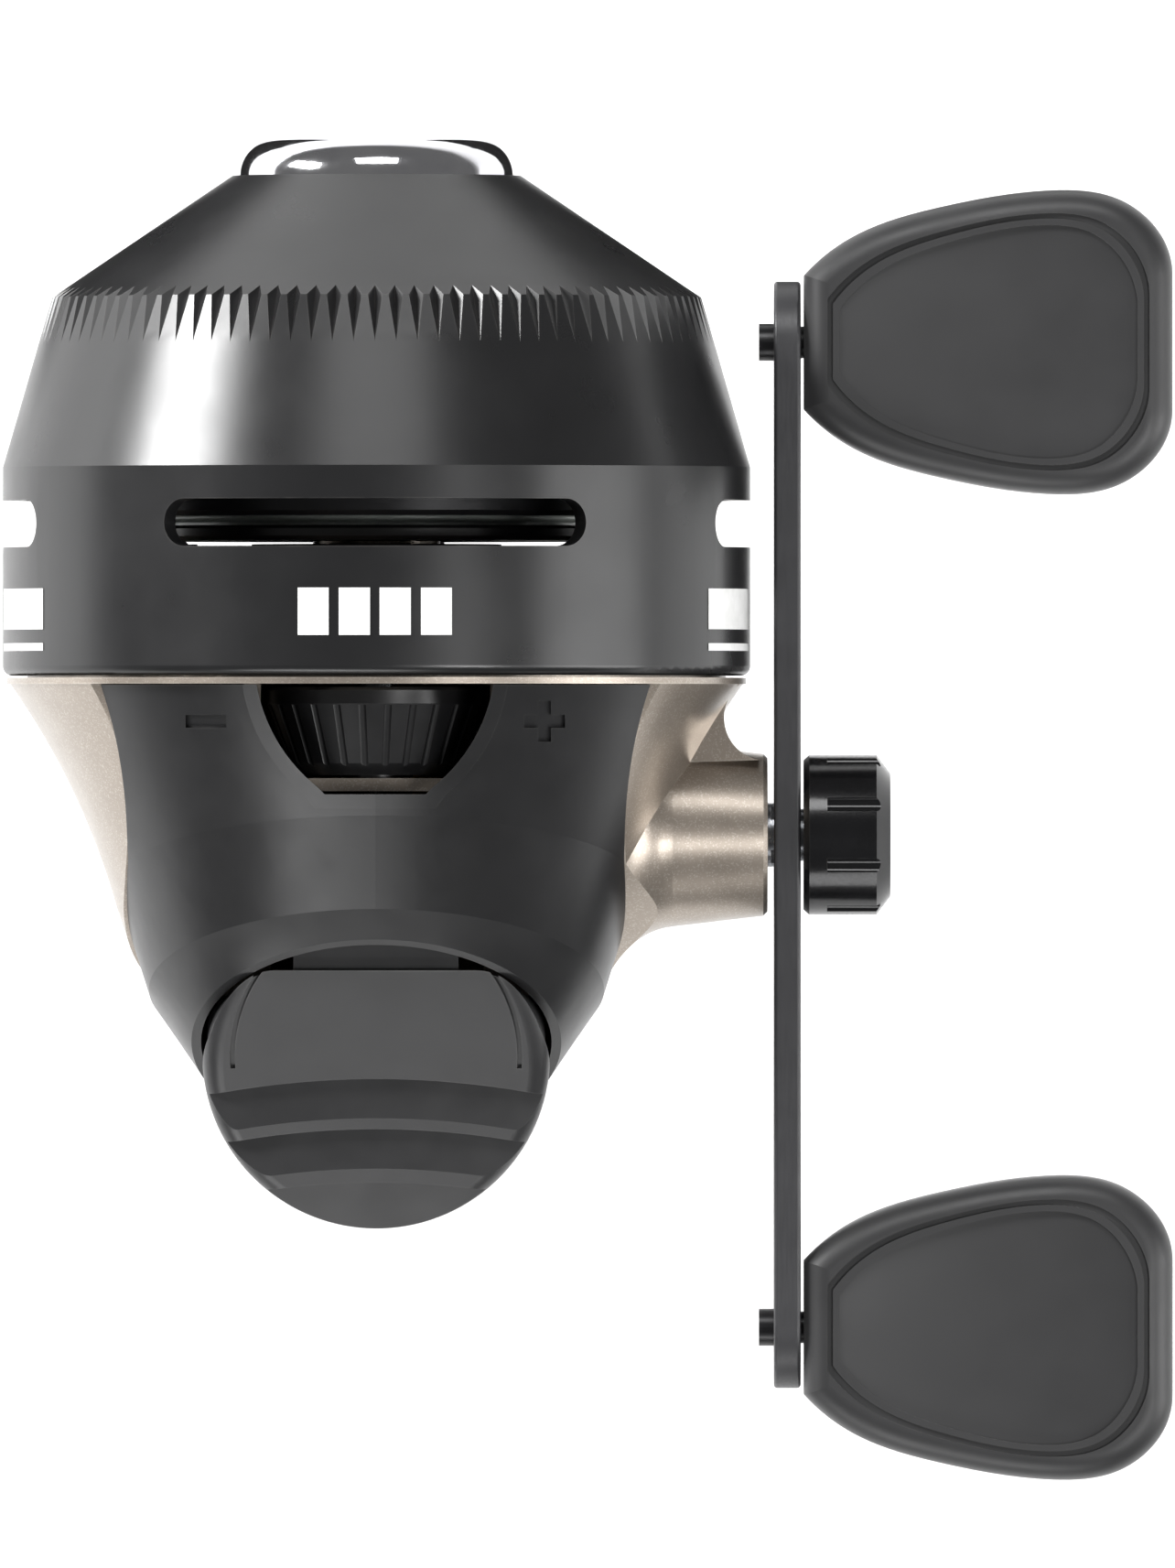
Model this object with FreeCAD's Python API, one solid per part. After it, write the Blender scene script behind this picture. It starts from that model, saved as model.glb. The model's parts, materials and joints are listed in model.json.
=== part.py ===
import FreeCAD, Part
import math
import os

# Spincast reel. Millimetres, +Z up, +Y out of the nose, +X towards the crank.
# Every piece is drawn with the reel's axis along Y through (0, 0, 0). The crank's axis is X.
# save() then lifts it, so that the origin ends up in the middle of the foot's underside.

V = FreeCAD.Vector
X_AXIS, Y_AXIS, Z_AXIS = V(1, 0, 0), V(0, 1, 0), V(0, 0, 1)

# ---- sizes that set the whole reel
cover_r = 35.0              # outside of the front cover
foot_drop = 8.0             # from the cover's underside down to the foot's underside
axis_height = cover_r + foot_drop
wall = 2.0                  # front cover wall
shell_wall = 1.8            # housing and back cover walls
crank_length = 103.6        # over both round ends of the crank arm
knob_length = 34.8
knob_thick, knob_half_width, knob_edge = 12.6, 14.2, 2.4

# ---- clearances
gap = 0.3                   # between pieces that move past each other
fit = 0.08                  # radial, shafts that run in a bore
seam_gap = 0.12             # parting line of the two shells

# ---- stations along the reel's axis, back to front
shell_back_y = -20.8        # rear wall of the housing
flange_y = 14.1             # rear face of the housing flange
flange_thick = 0.6
cover_back_y = flange_y + flange_thick + 0.2
flare_y = 34.4              # end of the front cover's straight part
shoulder_y = 50.3
nose_y = 61.7
ring_y = 65.1
deck_y, deck_thick = 20.5, 3.0
yoke_y, yoke_thick = 25.0, 1.4
washer_thick = 0.8
spool_y, spool_length = 27.5, 11.5
spool_flange = 1.4          # thickness of the spool's rear flange
clip_y, clip_thick = 39.4, 1.0
hub_end_y = 42.0
head_y = 29.8               # rear rim of the spinner head
head_flat_y = 49.0
pin_y = 41.5                # pickup pins
shaft_back_y, shaft_front_y = -15.2, 52.5
shaft_clip_y, shaft_clip_thick = -12.6, 0.6

# ---- radii about the reel's axis
shoulder_r = cover_r - 4.6
nose_r = 13.5
ring_r = 12.8
ring_neck_r = ring_r - 3.8
ring_throat_r = 3.5         # bore that the line runs through
flange_r = cover_r - 0.4
spigot_r = cover_r - wall - gap
spigot_wall = 2.4
hub_r = 5.95
post_r = 9.0
shaft_r = 2.0
journal_r = 3.5             # pinion journal
bush_wall = 1.45
head_r, head_wall = 24.5, 1.5
spool_flange_r = head_r - 0.5
spool_front_r = head_r - 2.7
arbor_r = 9.0
line_r = head_r - 5.0
washer_r = 11.7
pin_r, pin_tip_x = 0.9, head_r + 2.4
pin_guide_x, spring_seat_x = head_r - 9.3, 9.2
snap_depth = 0.7            # of the spool clip's groove

# ---- bayonet between front cover and housing
lug_count, lug_angle = 3, 9.0
lug_y, lug_length = cover_back_y + 2.5, 1.8
lug_height = 0.55
twist = 30.0                # from locked to free

# ---- gears
module_size = 0.8
pinion_teeth, drive_teeth = 10, 26
pinion_pitch_r = module_size * pinion_teeth / 2
drive_pitch_r = module_size * drive_teeth / 2
addendum = 0.6
face_width = 2.6
ratchet_teeth, ratchet_phase = 12, 12.0
ratchet_r, ratchet_root_r, ratchet_thick = 7.0, 5.5, 2.0

# ---- crank, along X
crank_shaft_r = 3.0
shaft_stub_r = 2.45         # thread under the nut
square = 5.3
gear_x = pinion_pitch_r + 0.9   # root plane of the drive gear's teeth
gear_back_x = gear_x + 2.6
gear_clip_x, gear_clip_thick = gear_x - 0.8, 0.7
ratchet_x = gear_back_x + 1.5
bearing_x = ratchet_x + 4.5     # inner face of the bearing flange
inner_bush_start, bush_length = bearing_x + 0.5, 6.0
inner_bush_end = inner_bush_start + bush_length
boss_end_x, boss_end_r = cover_r + 1.6, 7.6
outer_bush_start = boss_end_x - bush_length - 0.6
arm_x, arm_thick, arm_width = boss_end_x + 0.6, 2.5, 11.7
arm_edge = 0.35
nut_x = arm_x + arm_thick + 0.27
nut_r, nut_length, nut_grip = 7.5, 8.13, 6.0
knob_x = arm_x + arm_thick + gap
knob_y = crank_length / 2 - 5.7
knob_pin_r = 1.5
knob_pin_end = knob_x + 0.75 * knob_length
pawl_y, pawl_z, pawl_pin_r = 8.4, -9.6, 1.2
pawl_hub_r, pawl_thick = 2.6, 1.6

# ---- drag wheel
wheel_r, wheel_ribs = 10.1, 26
wheel_z = cover_r - 25.1 + wheel_r
wheel_back_y, wheel_front_y = 5.6, flange_y - gap
wheel_axle_r = 3.2
drag_screw_r = 2.0
guide_pin_x, guide_pin_r = -17.4, 0.65
mark_x, mark_y, mark_long, mark_thin = wheel_r + 5.65, 10.6, 1.9, 0.6

# ---- thumb button
button_r, button_y = 16.25, -20.6
hinge_y, hinge_z, hinge_pin_r = -8.0, 13.0, 1.0
pad_rear_y, pad_rear_z, pad_slope = button_y - button_r + 0.05, 3.0, 26.66
opening_y, opening_z, opening_tilt = -19.4, 5.2, 34.0
opening_r = button_r + 0.15
opening_rim = 0.9           # wall left around the opening
button_reach = opening_r - gap - 0.3    # the wall bulges a little inside the opening
press_angle = 14.0
button_depth = 5.5
rib_in, rib_out = 8.0, 10.4

# ---- foot and screws
foot_length, foot_width, foot_thick = 62.0, 16.5, 2.3
stem_half_width = 6.4
foot_screw_ys, foot_screw_r = (-9.0, 9.0), 1.6
foot_sink = 1.6             # countersink depth
cover_screw_x, cover_screw_z, cover_screw_r = 13.0, -12.0, 1.2
cover_screw_head_y = shell_back_y - 0.2


def save(name, shape):
    """Lifts a finished piece to its place above the foot and writes its STEP file."""
    placed = shape.copy()
    placed.translate(V(0, 0, axis_height))
    placed.exportStep("parts/" + name + ".step")


def loop(points, place):
    """Closed wire. A pair is a corner; a pair of pairs is an arc through the first to the second."""
    edges = []
    here = place(*points[0])
    for item in points[1:] + [points[0]]:
        if isinstance(item[0], tuple):
            middle, end = place(*item[0]), place(*item[1])
            edges.append(Part.Arc(here, middle, end).toShape())
        else:
            end = place(*item)
            if (end - here).Length > 1e-6:
                edges.append(Part.makeLine(here, end))
        here = end
    return Part.Wire(edges)


def turned_y(points, angle=360.0):
    """Solid turned about the reel's axis from (radius, y) points."""
    face = Part.Face(loop(points, lambda r, y: V(r, y, 0)))
    return face.revolve(V(0, 0, 0), Y_AXIS, angle)


def turned_x(points):
    """Solid turned about the crank's axis from (x, radius) points."""
    face = Part.Face(loop(points, lambda x, r: V(x, r, 0)))
    return face.revolve(V(0, 0, 0), X_AXIS, 360)


def rod(radius, start, end):
    return Part.makeCylinder(radius, (end - start).Length, start, end - start)


def rod_y(radius, y0, y1, x=0.0, z=0.0):
    return rod(radius, V(x, y0, z), V(x, y1, z))


def rod_x(radius, x0, x1, y=0.0, z=0.0):
    return rod(radius, V(x0, y, z), V(x1, y, z))


def tube_y(outer, inner, y0, y1, x=0.0, z=0.0):
    return rod_y(outer, y0, y1, x, z).cut(rod_y(inner, y0 - 1, y1 + 1, x, z))


def tube_x(outer, inner, x0, x1, y=0.0, z=0.0):
    return rod_x(outer, x0, x1, y, z).cut(rod_x(inner, x0 - 1, x1 + 1, y, z))


def block(x0, x1, y0, y1, z0, z1):
    return Part.makeBox(x1 - x0, y1 - y0, z1 - z0, V(x0, y0, z0))


def around(shape, count, axis=Y_AXIS, centre=V(0, 0, 0), start=0.0):
    """Copies of a shape spaced evenly about an axis."""
    copies = []
    for i in range(count):
        one = shape.copy()
        one.rotate(centre, axis, start + 360.0 * i / count)
        copies.append(one)
    return copies


def slab_yz(points, half_width):
    """Side outline in (y, z), made as wide as 2 x half_width."""
    face = Part.Face(loop(points, lambda y, z: V(-half_width, y, z)))
    return face.extrude(V(2 * half_width, 0, 0))


def coil_y(middle_r, wire_r, y0, y1, turns):
    """Compression spring along Y."""
    length = y1 - y0 - 2 * wire_r
    helix = Part.makeHelix(length / turns, length, middle_r)
    tangent = V(0, 2 * math.pi * middle_r, length / turns)
    section = Part.Wire(Part.makeCircle(wire_r, V(middle_r, 0, 0), tangent))
    spring = Part.Wire(helix).makePipeShell([section], True, True)
    spring.rotate(V(0, 0, 0), X_AXIS, -90)
    spring.translate(V(0, y0 + wire_r, 0))
    return spring


# ---------------------------------------------------------------- front cover


def nose_inside_y():
    """Inner end of the nose, where the cone's wall is measured square to its slope."""
    cone_half = math.atan2(shoulder_r - nose_r, nose_y - shoulder_y)
    return nose_y - wall / math.sin(cone_half)


def front_cover():
    slope = (nose_r - shoulder_r) / (nose_y - shoulder_y)
    inner_shoulder_r = shoulder_r - 1.04 * wall
    inner_shoulder_y = nose_inside_y() + (inner_shoulder_r - nose_r) / slope
    round_edge = 0.9
    bulge = round_edge * (1 - math.sqrt(0.5))
    body = turned_y([
        (cover_r - wall, cover_back_y), (cover_r - round_edge, cover_back_y),
        ((cover_r - bulge, cover_back_y + bulge), (cover_r, cover_back_y + round_edge)),
        (cover_r, flare_y), (shoulder_r, shoulder_y), (nose_r, nose_y), (ring_neck_r, nose_y),
        (ring_neck_r, nose_inside_y()), (nose_r, nose_inside_y()), (inner_shoulder_r, inner_shoulder_y),
        (cover_r - wall, flare_y - wall / 2)])
    return body.cut(Part.Compound(cover_slots() + knurl_grooves() + bayonet_slots()))


def cover_slots():
    """Four windows with round ends: wide above and below, shorter at the sides."""
    height, middle_y = 4.4, 29.1
    wide, short = 34.1, 25.1
    cutters = []
    for direction, half_angle in ((90, wide), (270, wide), (0, short), (180, short)):
        trim = math.degrees(height / 2 / cover_r)
        half = half_angle - trim
        band = turned_y([(cover_r - wall - 2, middle_y - height / 2),
                         (cover_r + 2, middle_y - height / 2),
                         (cover_r + 2, middle_y + height / 2),
                         (cover_r - wall - 2, middle_y + height / 2)], 2 * half)
        band.rotate(V(0, 0, 0), Y_AXIS, -direction - half)
        cutters.append(band)
        for side in (-half, half):
            turn = math.radians(direction + side)
            out = V(math.cos(turn), 0, math.sin(turn))
            start = V(0, middle_y, 0) + out * (cover_r - wall - 2)
            cutters.append(Part.makeCylinder(height / 2, wall + 4, start, out))
    return cutters


def knurl_grooves():
    """V grooves around the shoulder that fade out on the flare."""
    count, depth = 100, 1.35
    flank = 0.78            # half width of the V for each millimetre of depth
    fade_y, start_y = shoulder_y - 4.4, shoulder_y + 0.9
    flare_slope = (cover_r - shoulder_r) / (shoulder_y - flare_y)
    fade_r = shoulder_r + (shoulder_y - fade_y) * flare_slope
    start_r = shoulder_r - depth
    end, start = V(fade_r, fade_y, 0), V(start_r, start_y + 0.1, 0)
    along = (start - end).normalize()
    start, end = start + along * 1.0, end - along * 0.2
    height = 2.6
    half = height * flank
    section = Part.makePolygon([end, end + V(height, 0, half), end + V(height, 0, -half), end])
    groove = Part.Face(section).extrude(start - end)
    return around(groove, count)


def bayonet_slots():
    """L slots inside the cover's rim. The housing's lugs turn 30 degrees in them, then leave."""
    depth = lug_height + gap + 0.1
    y0, y1 = lug_y - gap, lug_y + lug_length + gap
    ring = [(cover_r - wall - 1, y0), (cover_r - wall + depth, y0),
            (cover_r - wall + depth, y1), (cover_r - wall - 1, y1)]
    mouth = [(cover_r - wall - 1, cover_back_y - 1), (cover_r - wall + depth, cover_back_y - 1),
             (cover_r - wall + depth, y1), (cover_r - wall - 1, y1)]
    slack = 1.5
    run = turned_y(ring, twist + lug_angle + 2 * slack)
    run.rotate(V(0, 0, 0), Y_AXIS, -slack)
    way = turned_y(mouth, lug_angle + 2 * slack)
    way.rotate(V(0, 0, 0), Y_AXIS, twist - slack)
    return around(run, lug_count) + around(way, lug_count)


def bayonet_lugs():
    lug = turned_y([(spigot_r - 0.5, lug_y), (spigot_r + gap + lug_height, lug_y),
                    (spigot_r + gap + lug_height, lug_y + lug_length),
                    (spigot_r - 0.5, lug_y + lug_length)], lug_angle)
    return around(lug, lug_count)


def line_guide_ring():
    """Polished line guide. Its neck goes through the nose and is rolled over inside."""
    throat, neck = ring_throat_r, ring_neck_r
    roll_y = nose_inside_y() - 1.2
    lip_y = ring_y - 0.6
    return turned_y([
        (throat, roll_y), (neck + 1.6, roll_y), (neck + 1.6, nose_inside_y()),
        (neck, nose_inside_y()), (neck, nose_y), (ring_r, nose_y),
        ((ring_r - 0.75, nose_y + 2.2), (ring_r - 4.8, ring_y)), (ring_r - 6.4, ring_y),
        ((5.2, lip_y), (throat + 0.6, nose_y + 0.9)),
        ((throat + 0.12, nose_y), (throat, nose_y - 1.0))])


# ---------------------------------------------------------------- housing


def shell_solid(inset):
    """Turned body of the housing behind its flange, inset evenly for the hollow."""
    back = shell_back_y + inset
    outer = cover_r - inset
    return turned_y([
        (0, flange_y + inset), (outer - 0.7, flange_y + inset), (outer - 0.7, flange_y),
        ((outer - 6.9, 3.4), (outer - 10.7, -6.9)), (outer - 14.1, -17.0),
        ((outer - 15.3, back + 0.9), (outer - 18.5, back)), (0, back)])


def behind_seam(shift):
    """Everything above and behind the seam between the shells, moved off it by shift."""
    region = slab_yz([(14.9, 22.0), ((1.4, 14.3), (-10.5, 0)), ((-17.3, -14), (-21.5, -26)),
                      (-21.5, -60), (-60, -60), (-60, 60), (14.9, 60)], 50)
    region.translate(V(0, -shift * 0.7, shift * 0.7))
    return region


def crank_boss():
    end, radius = boss_end_x, boss_end_r
    root_r = 2 * radius - 0.2
    return turned_x([
        (bearing_x, 0), (end - 0.5, 0), (end - 0.5, radius - 2.0), (end, radius - 1.5),
        (end, radius - 0.4), (end - 0.4, radius), (end - 8.9, radius + 1.0),
        ((end - 11.6, radius + 1.9), (end - 13.9, radius + 4.2)), (end - 15.6, root_r),
        (bearing_x, root_r)])


def boss_root():
    """Fillet that runs from the crank boss forward into the flange."""
    end, half = boss_end_x, 5.2
    fillet = Part.Face(loop([(inner_bush_end, boss_end_r - 1.1), (end - 0.8, boss_end_r - 0.6),
                             ((end - 4.0, boss_end_r + 2.6), (end - 2.6, flange_y)),
                             (inner_bush_end, flange_y)], lambda x, y: V(x, y, 0)))
    solid = fillet.extrude(V(0, 0, 2 * half))
    solid.translate(V(0, 0, -half))
    return solid


def foot_stem():
    """Neck between the housing and the foot, narrower than the foot."""
    top = -axis_height + foot_thick
    return slab_yz([(-17, top), (18.5, top), (18.5, top + 1.2), ((14.6, top + 3.2), (12.6, top + 7.5)),
                    (12.6, -20), (-12.5, -20), (-12.5, top + 7.5), ((-14, top + 3.2), (-17, top + 1.2))],
                   stem_half_width)


def deck():
    """Front wall that carries the spool post, with the spigot that the front cover turns on."""
    deck_front = deck_y + deck_thick
    bore = journal_r + fit + bush_wall
    inner = spigot_r - spigot_wall
    flange = turned_y([(inner - 1, flange_y), (flange_r, flange_y), (flange_r, flange_y + flange_thick),
                       (inner - 1, flange_y + flange_thick)])
    spigot = turned_y([(inner, flange_y), (spigot_r, flange_y),
                       (spigot_r, deck_front - 0.6), (spigot_r - 0.6, deck_front),
                       (0, deck_front), (0, deck_y), (inner, deck_y)])
    post = rod_y(post_r, flange_y, deck_y + 1).fuse(rod_y(hub_r, deck_y, hub_end_y))
    solid = flange.fuse([spigot, post] + bayonet_lugs())
    clip_groove = tube_y(hub_r + 1, hub_r - snap_depth, clip_y, clip_y + clip_thick)
    holes = [rod_y(bore, flange_y - 1, yoke_y + 1), rod_y(journal_r - 0.5, yoke_y, hub_end_y + 1),
             rod_y(drag_screw_r + gap, flange_y - 1, deck_front + 1, 0, wheel_z), clip_groove,
             rod_y(guide_pin_r, deck_front - 2, deck_front + 1, guide_pin_x)]
    return solid.cut(Part.Compound(holes))


def drag_bracket():
    """Two cheeks and a rear wall that hold the drag wheel behind the flange."""
    cheek_in = wheel_r + 0.6
    cheek_out = cheek_in + 1.5
    wall_back = wheel_back_y - gap - 1.2
    low, high = wheel_z - 6, wheel_z + 1.0
    cheeks = [block(side * cheek_in if side > 0 else -cheek_out, cheek_out if side > 0 else -cheek_in,
                    wall_back, flange_y + 1, low, high) for side in (1, -1)]
    back = block(-cheek_out, cheek_out, wall_back, wall_back + 1.2, low, wheel_z + 4)
    front = block(-cheek_out, cheek_out, flange_y, flange_y + 1.2, wheel_z - 9, spigot_r - 5)
    bracket = back.fuse([front] + cheeks)
    axle_hole = rod_y(wheel_axle_r + fit, wall_back - 1, wall_back + 2, 0, wheel_z)
    screw_hole = rod_y(drag_screw_r + gap, flange_y - 1, flange_y + 3, 0, wheel_z)
    return bracket.cut(axle_hole.fuse(screw_hole))


def screw_lugs():
    """Two lugs inside the housing's rear wall that the back cover's screws bite into."""
    half, front, top = 3.0, shell_back_y + 11.8, cover_screw_z + 3.0
    lugs = [block(side * cover_screw_x - half, side * cover_screw_x + half,
                  shell_back_y + 3.4, front, -cover_r, top) for side in (1, -1)]
    return [lug.common(shell_solid(0.5)).cut(behind_seam(0)) for lug in lugs]


def housing():
    outer = shell_solid(0).fuse([crank_boss(), boss_root(), foot_stem()])
    mouth = rod_y(spigot_r - spigot_wall, flange_y - 2.1, deck_y)
    body = outer.cut(shell_solid(shell_wall)).cut(mouth).cut(behind_seam(0))
    body = body.fuse([bearing_flange(), deck(), drag_bracket()] + screw_lugs())
    bush_r = crank_shaft_r + fit + bush_wall
    cuts = [rod_x(bush_r, bearing_x - 1, inner_bush_end), rod_x(bush_r, outer_bush_start, boss_end_x + 1),
            rod_x(bush_r - 0.8, bearing_x - 1, boss_end_x),
            rod_x(pawl_pin_r, bearing_x - 1, bearing_x + 4, pawl_y, pawl_z)]
    for side in (1, -1):
        cuts.append(rod_y(cover_screw_r, shell_back_y, -10, side * cover_screw_x, cover_screw_z))
    for y in foot_screw_ys:
        cuts.append(Part.makeCylinder(foot_screw_r, 10, V(0, y, -axis_height)))
    return body.cut(Part.Compound(cuts)).removeSplitter()


def bearing_flange():
    """Disc and tube inside the housing that carry the crank shaft's bushes and the pawl's pin."""
    tube = rod_x(crank_shaft_r + 4.0, bearing_x, outer_bush_start - 3)
    disc = rod_x(13.2, bearing_x, bearing_x + 2.7)
    web = block(inner_bush_start, inner_bush_end + 4, 8, flange_y + 1, -5, 5)
    return tube.fuse([disc, web])


# ---------------------------------------------------------------- back cover


def tilted_ring(y, z, radius, tilt):
    """Circle as two half turns, its plane leaning forward at the top by tilt degrees."""
    lean = math.radians(tilt)
    centre, up = V(0, y, z), V(0, math.sin(lean), math.cos(lean))
    top, low = centre + up * radius, centre - up * radius
    left, right = centre - X_AXIS * radius, centre + X_AXIS * radius
    return Part.Wire([Part.Arc(top, left, low).toShape(), Part.Arc(low, right, top).toShape()])


def cover_loft(offset):
    """Body of the back cover: flat bands between four rings, offset outwards."""
    reach = 0.5 if offset < -1 else 0.0
    rings = [tilted_ring(flange_y - 0.1 + reach, 0, flange_r - 1.0 + offset, 0),
             tilted_ring(-4.5, 3.3, cover_r - 10.5 + offset, 15),
             tilted_ring(-14.5, 2.6, cover_r - 13.7 + offset, 21),
             tilted_ring(opening_y, opening_z, opening_r + opening_rim + offset, opening_tilt)]
    return Part.makeLoft(rings, True, True)


def opening_bore(radius, inward, outward):
    """Cylinder square to the thumb button's opening."""
    lean = math.radians(opening_tilt)
    out = V(0, -math.cos(lean), math.sin(lean))
    centre = V(0, opening_y, opening_z)
    return rod(radius, centre - out * inward, centre + out * outward)


def opening_sweep(radius):
    """Space that a disc in the opening passes through while it swings about the button's hinge."""
    lean = math.radians(opening_tilt)
    out = V(0, -math.cos(lean), math.sin(lean))
    hinge = V(0, hinge_y, hinge_z)
    inward, outward = 40, 8
    disc = Part.Face(Part.Wire(Part.makeCircle(radius, V(0, opening_y, opening_z), out)))
    swept = disc.revolve(hinge, X_AXIS, inward + outward)
    swept.rotate(hinge, X_AXIS, -inward)
    return swept


def window_outline(grow, z0, z1):
    """Upright cutter with the drag window's outline, grown evenly."""
    front, back = flange_y + 3, wheel_back_y - 1.8
    top, waist, corner = wheel_r + 1.1 + grow, wheel_r - 0.75 + grow, wheel_r - 4.7 + grow
    low = wheel_r - 5.4 + 0.75 * grow
    waist_y, corner_y = back + 5.4 - 0.4 * grow, back + 0.7 - 0.5 * grow
    points = [(top, front), ((waist, waist_y), (corner, corner_y)), (low, back - grow),
              (-low, back - grow), (-corner, corner_y), ((-waist, waist_y), (-top, front))]
    face = Part.Face(loop(points, lambda x, y: V(x, y, z0)))
    return face.extrude(V(0, 0, z1 - z0))


def drag_marks():
    """Minus and plus signs beside the drag window, as upright bars."""
    bars = [(-mark_x, mark_long, mark_thin), (mark_x, mark_long, mark_thin), (mark_x, mark_thin, mark_long)]
    solids = [block(x - a, x + a, mark_y - b, mark_y + b, 10, cover_r + 5) for x, a, b in bars]
    return solids[0].fuse(solids[1:])


def hinge_ribs():
    """Two ribs under the roof that hold the thumb button's pin."""
    eye, neck = 2.4, 1.6
    ribs = []
    for x0, x1 in ((rib_in, rib_out), (-rib_out, -rib_in)):
        hanger = block(x0, x1, hinge_y - neck, hinge_y + neck, hinge_z, cover_r)
        ribs.append(rod_x(eye, x0, x1, hinge_y, hinge_z).fuse(hanger.common(cover_loft(-0.5))))
    return ribs


def back_cover():
    body = cover_loft(0)
    lip_width, lip_height, low, high = 1.25, 0.45, 12, cover_r + 10
    lip = window_outline(lip_width, low, high).common(cover_loft(lip_height))
    body = body.fuse(lip).cut(cover_loft(-shell_wall)).cut(opening_bore(opening_r, 3, 5))
    mark_depth = 0.35
    marks = drag_marks().common(cover_loft(1)).cut(cover_loft(-mark_depth))
    body = body.cut(marks)
    bosses = []
    for side in (1, -1):
        y0, y1 = cover_screw_head_y - 1.6, cover_screw_head_y + 3.4
        boss = rod_y(cover_screw_r + 2.2, y0, y1, side * cover_screw_x, cover_screw_z)
        bosses.append(boss.cut(opening_bore(opening_r, 12, 5)).common(behind_seam(seam_gap)))
    body = body.common(behind_seam(seam_gap))
    body = body.fuse(hinge_ribs() + bosses)
    cuts = [window_outline(0, low, high), rod_x(hinge_pin_r, -rib_out - 1, rib_out + 1, hinge_y, hinge_z)]
    for side in (1, -1):
        x = side * cover_screw_x
        cuts.append(rod_y(cover_screw_r + 0.2, -25, -15, x, cover_screw_z))
        cuts.append(rod_y(cover_screw_r + 1.3, -24, cover_screw_head_y, x, cover_screw_z))
    return body.cut(Part.Compound(cuts))


# ---------------------------------------------------------------- fasteners, pins and bushes


def cover_screws():
    screws = []
    for side in (1, -1):
        x, z = side * cover_screw_x, cover_screw_z
        head = rod_y(cover_screw_r + 1.1, cover_screw_head_y - 1.4, cover_screw_head_y, x, z)
        cross = block(x - 1.4, x + 1.4, cover_screw_head_y - 2, cover_screw_head_y - 0.7, z - 0.25, z + 0.25)
        other = cross.copy()
        other.rotate(V(x, 0, z), Y_AXIS, 90)
        shank = rod_y(cover_screw_r, cover_screw_head_y, -11, x, z)
        screws.append(head.fuse(shank).cut(cross.fuse(other)))
    return Part.Compound(screws)


def foot():
    """Pressed foot: flat underneath, thinner and rounded towards both ends."""
    half, side = foot_length / 2, foot_width / 2
    base = -axis_height
    plan = Part.Face(loop([(side, -half + 12), (side, half - 12), ((side - 2.2, half - 3.2), (side - 5, half)),
                           (-side + 5, half), ((-side + 2.2, half - 3.2), (-side, half - 12)),
                           (-side, -half + 12), ((-side + 2.2, -half + 3.2), (-side + 5, -half)),
                           (side - 5, -half), ((side - 2.2, -half + 3.2), (side, -half + 12))],
                          lambda x, y: V(x, y, base))).extrude(V(0, 0, foot_thick))
    tip = 1.1
    profile = slab_yz([(-half, base), (half, base), (half, base + tip), (half - 13, base + foot_thick),
                       (-half + 13, base + foot_thick), (-half, base + tip)], side + 1)
    body = plan.common(profile)
    for y in foot_screw_ys:
        sink = Part.makeCone(foot_screw_r + foot_sink, foot_screw_r, foot_sink, V(0, y, base))
        body = body.cut(sink.fuse(Part.makeCylinder(foot_screw_r, 10, V(0, y, base))))
    return body


def foot_screws():
    base = -axis_height
    screws = []
    for y in foot_screw_ys:
        head = Part.makeCone(foot_screw_r + foot_sink - 0.05, foot_screw_r - 0.05, foot_sink,
                             V(0, y, base + 0.05))
        shank = Part.makeCylinder(foot_screw_r, 9.4, V(0, y, base + 0.3))
        slot = block(-4, 4, y - 0.35, y + 0.35, base - 1, base + 0.75)
        screws.append(head.fuse(shank).cut(slot))
    return Part.Compound(screws)


def deck_bush():
    return tube_y(journal_r + fit + bush_wall, journal_r + fit, flange_y, yoke_y + 1)


def crank_bush(x0, x1):
    return tube_x(crank_shaft_r + fit + bush_wall, crank_shaft_r + fit, x0, x1)


def pawl_pin():
    shoulder, head_x = pawl_pin_r + 0.9, ratchet_x - 0.7
    return rod_x(pawl_pin_r, head_x, bearing_x + 2.7, pawl_y, pawl_z).fuse([
        rod_x(shoulder, head_x, head_x + 0.5, pawl_y, pawl_z),
        rod_x(shoulder, ratchet_x + 2.1, bearing_x, pawl_y, pawl_z)])


def spool_clip():
    ring = tube_y(hub_r + 2.2, hub_r - snap_depth, clip_y, clip_y + clip_thick)
    return ring.cut(block(-3.2, 3.2, clip_y - 1, clip_y + 2, -12, 0))


def drag_guide_pin():
    return rod_y(guide_pin_r, deck_y + deck_thick - 2, spool_y - gap, guide_pin_x)


# ---------------------------------------------------------------- crank


def crank_shaft():
    collar = rod_x(crank_shaft_r + 2.0, ratchet_x + ratchet_thick + 0.1, bearing_x - gap)
    shaft = rod_x(crank_shaft_r, gear_clip_x - 0.7, arm_x)
    stub = rod_x(shaft_stub_r, boss_end_x, nut_x + nut_grip)
    half = square / 2
    driver = block(boss_end_x + gap, arm_x + arm_thick, -half, half, -half, half)
    groove = tube_x(crank_shaft_r + 1, crank_shaft_r - 0.5, gear_clip_x, gear_clip_x + gear_clip_thick)
    return shaft.fuse([collar, driver, stub]).cut(groove)


def gear_clip():
    mouth = 1.7
    ring = tube_x(crank_shaft_r + 1.8, crank_shaft_r - 0.5, gear_clip_x, gear_clip_x + gear_clip_thick)
    return ring.cut(block(gear_clip_x - 1, gear_clip_x + 2, -mouth, mouth, 0, crank_shaft_r + 5))


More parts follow.
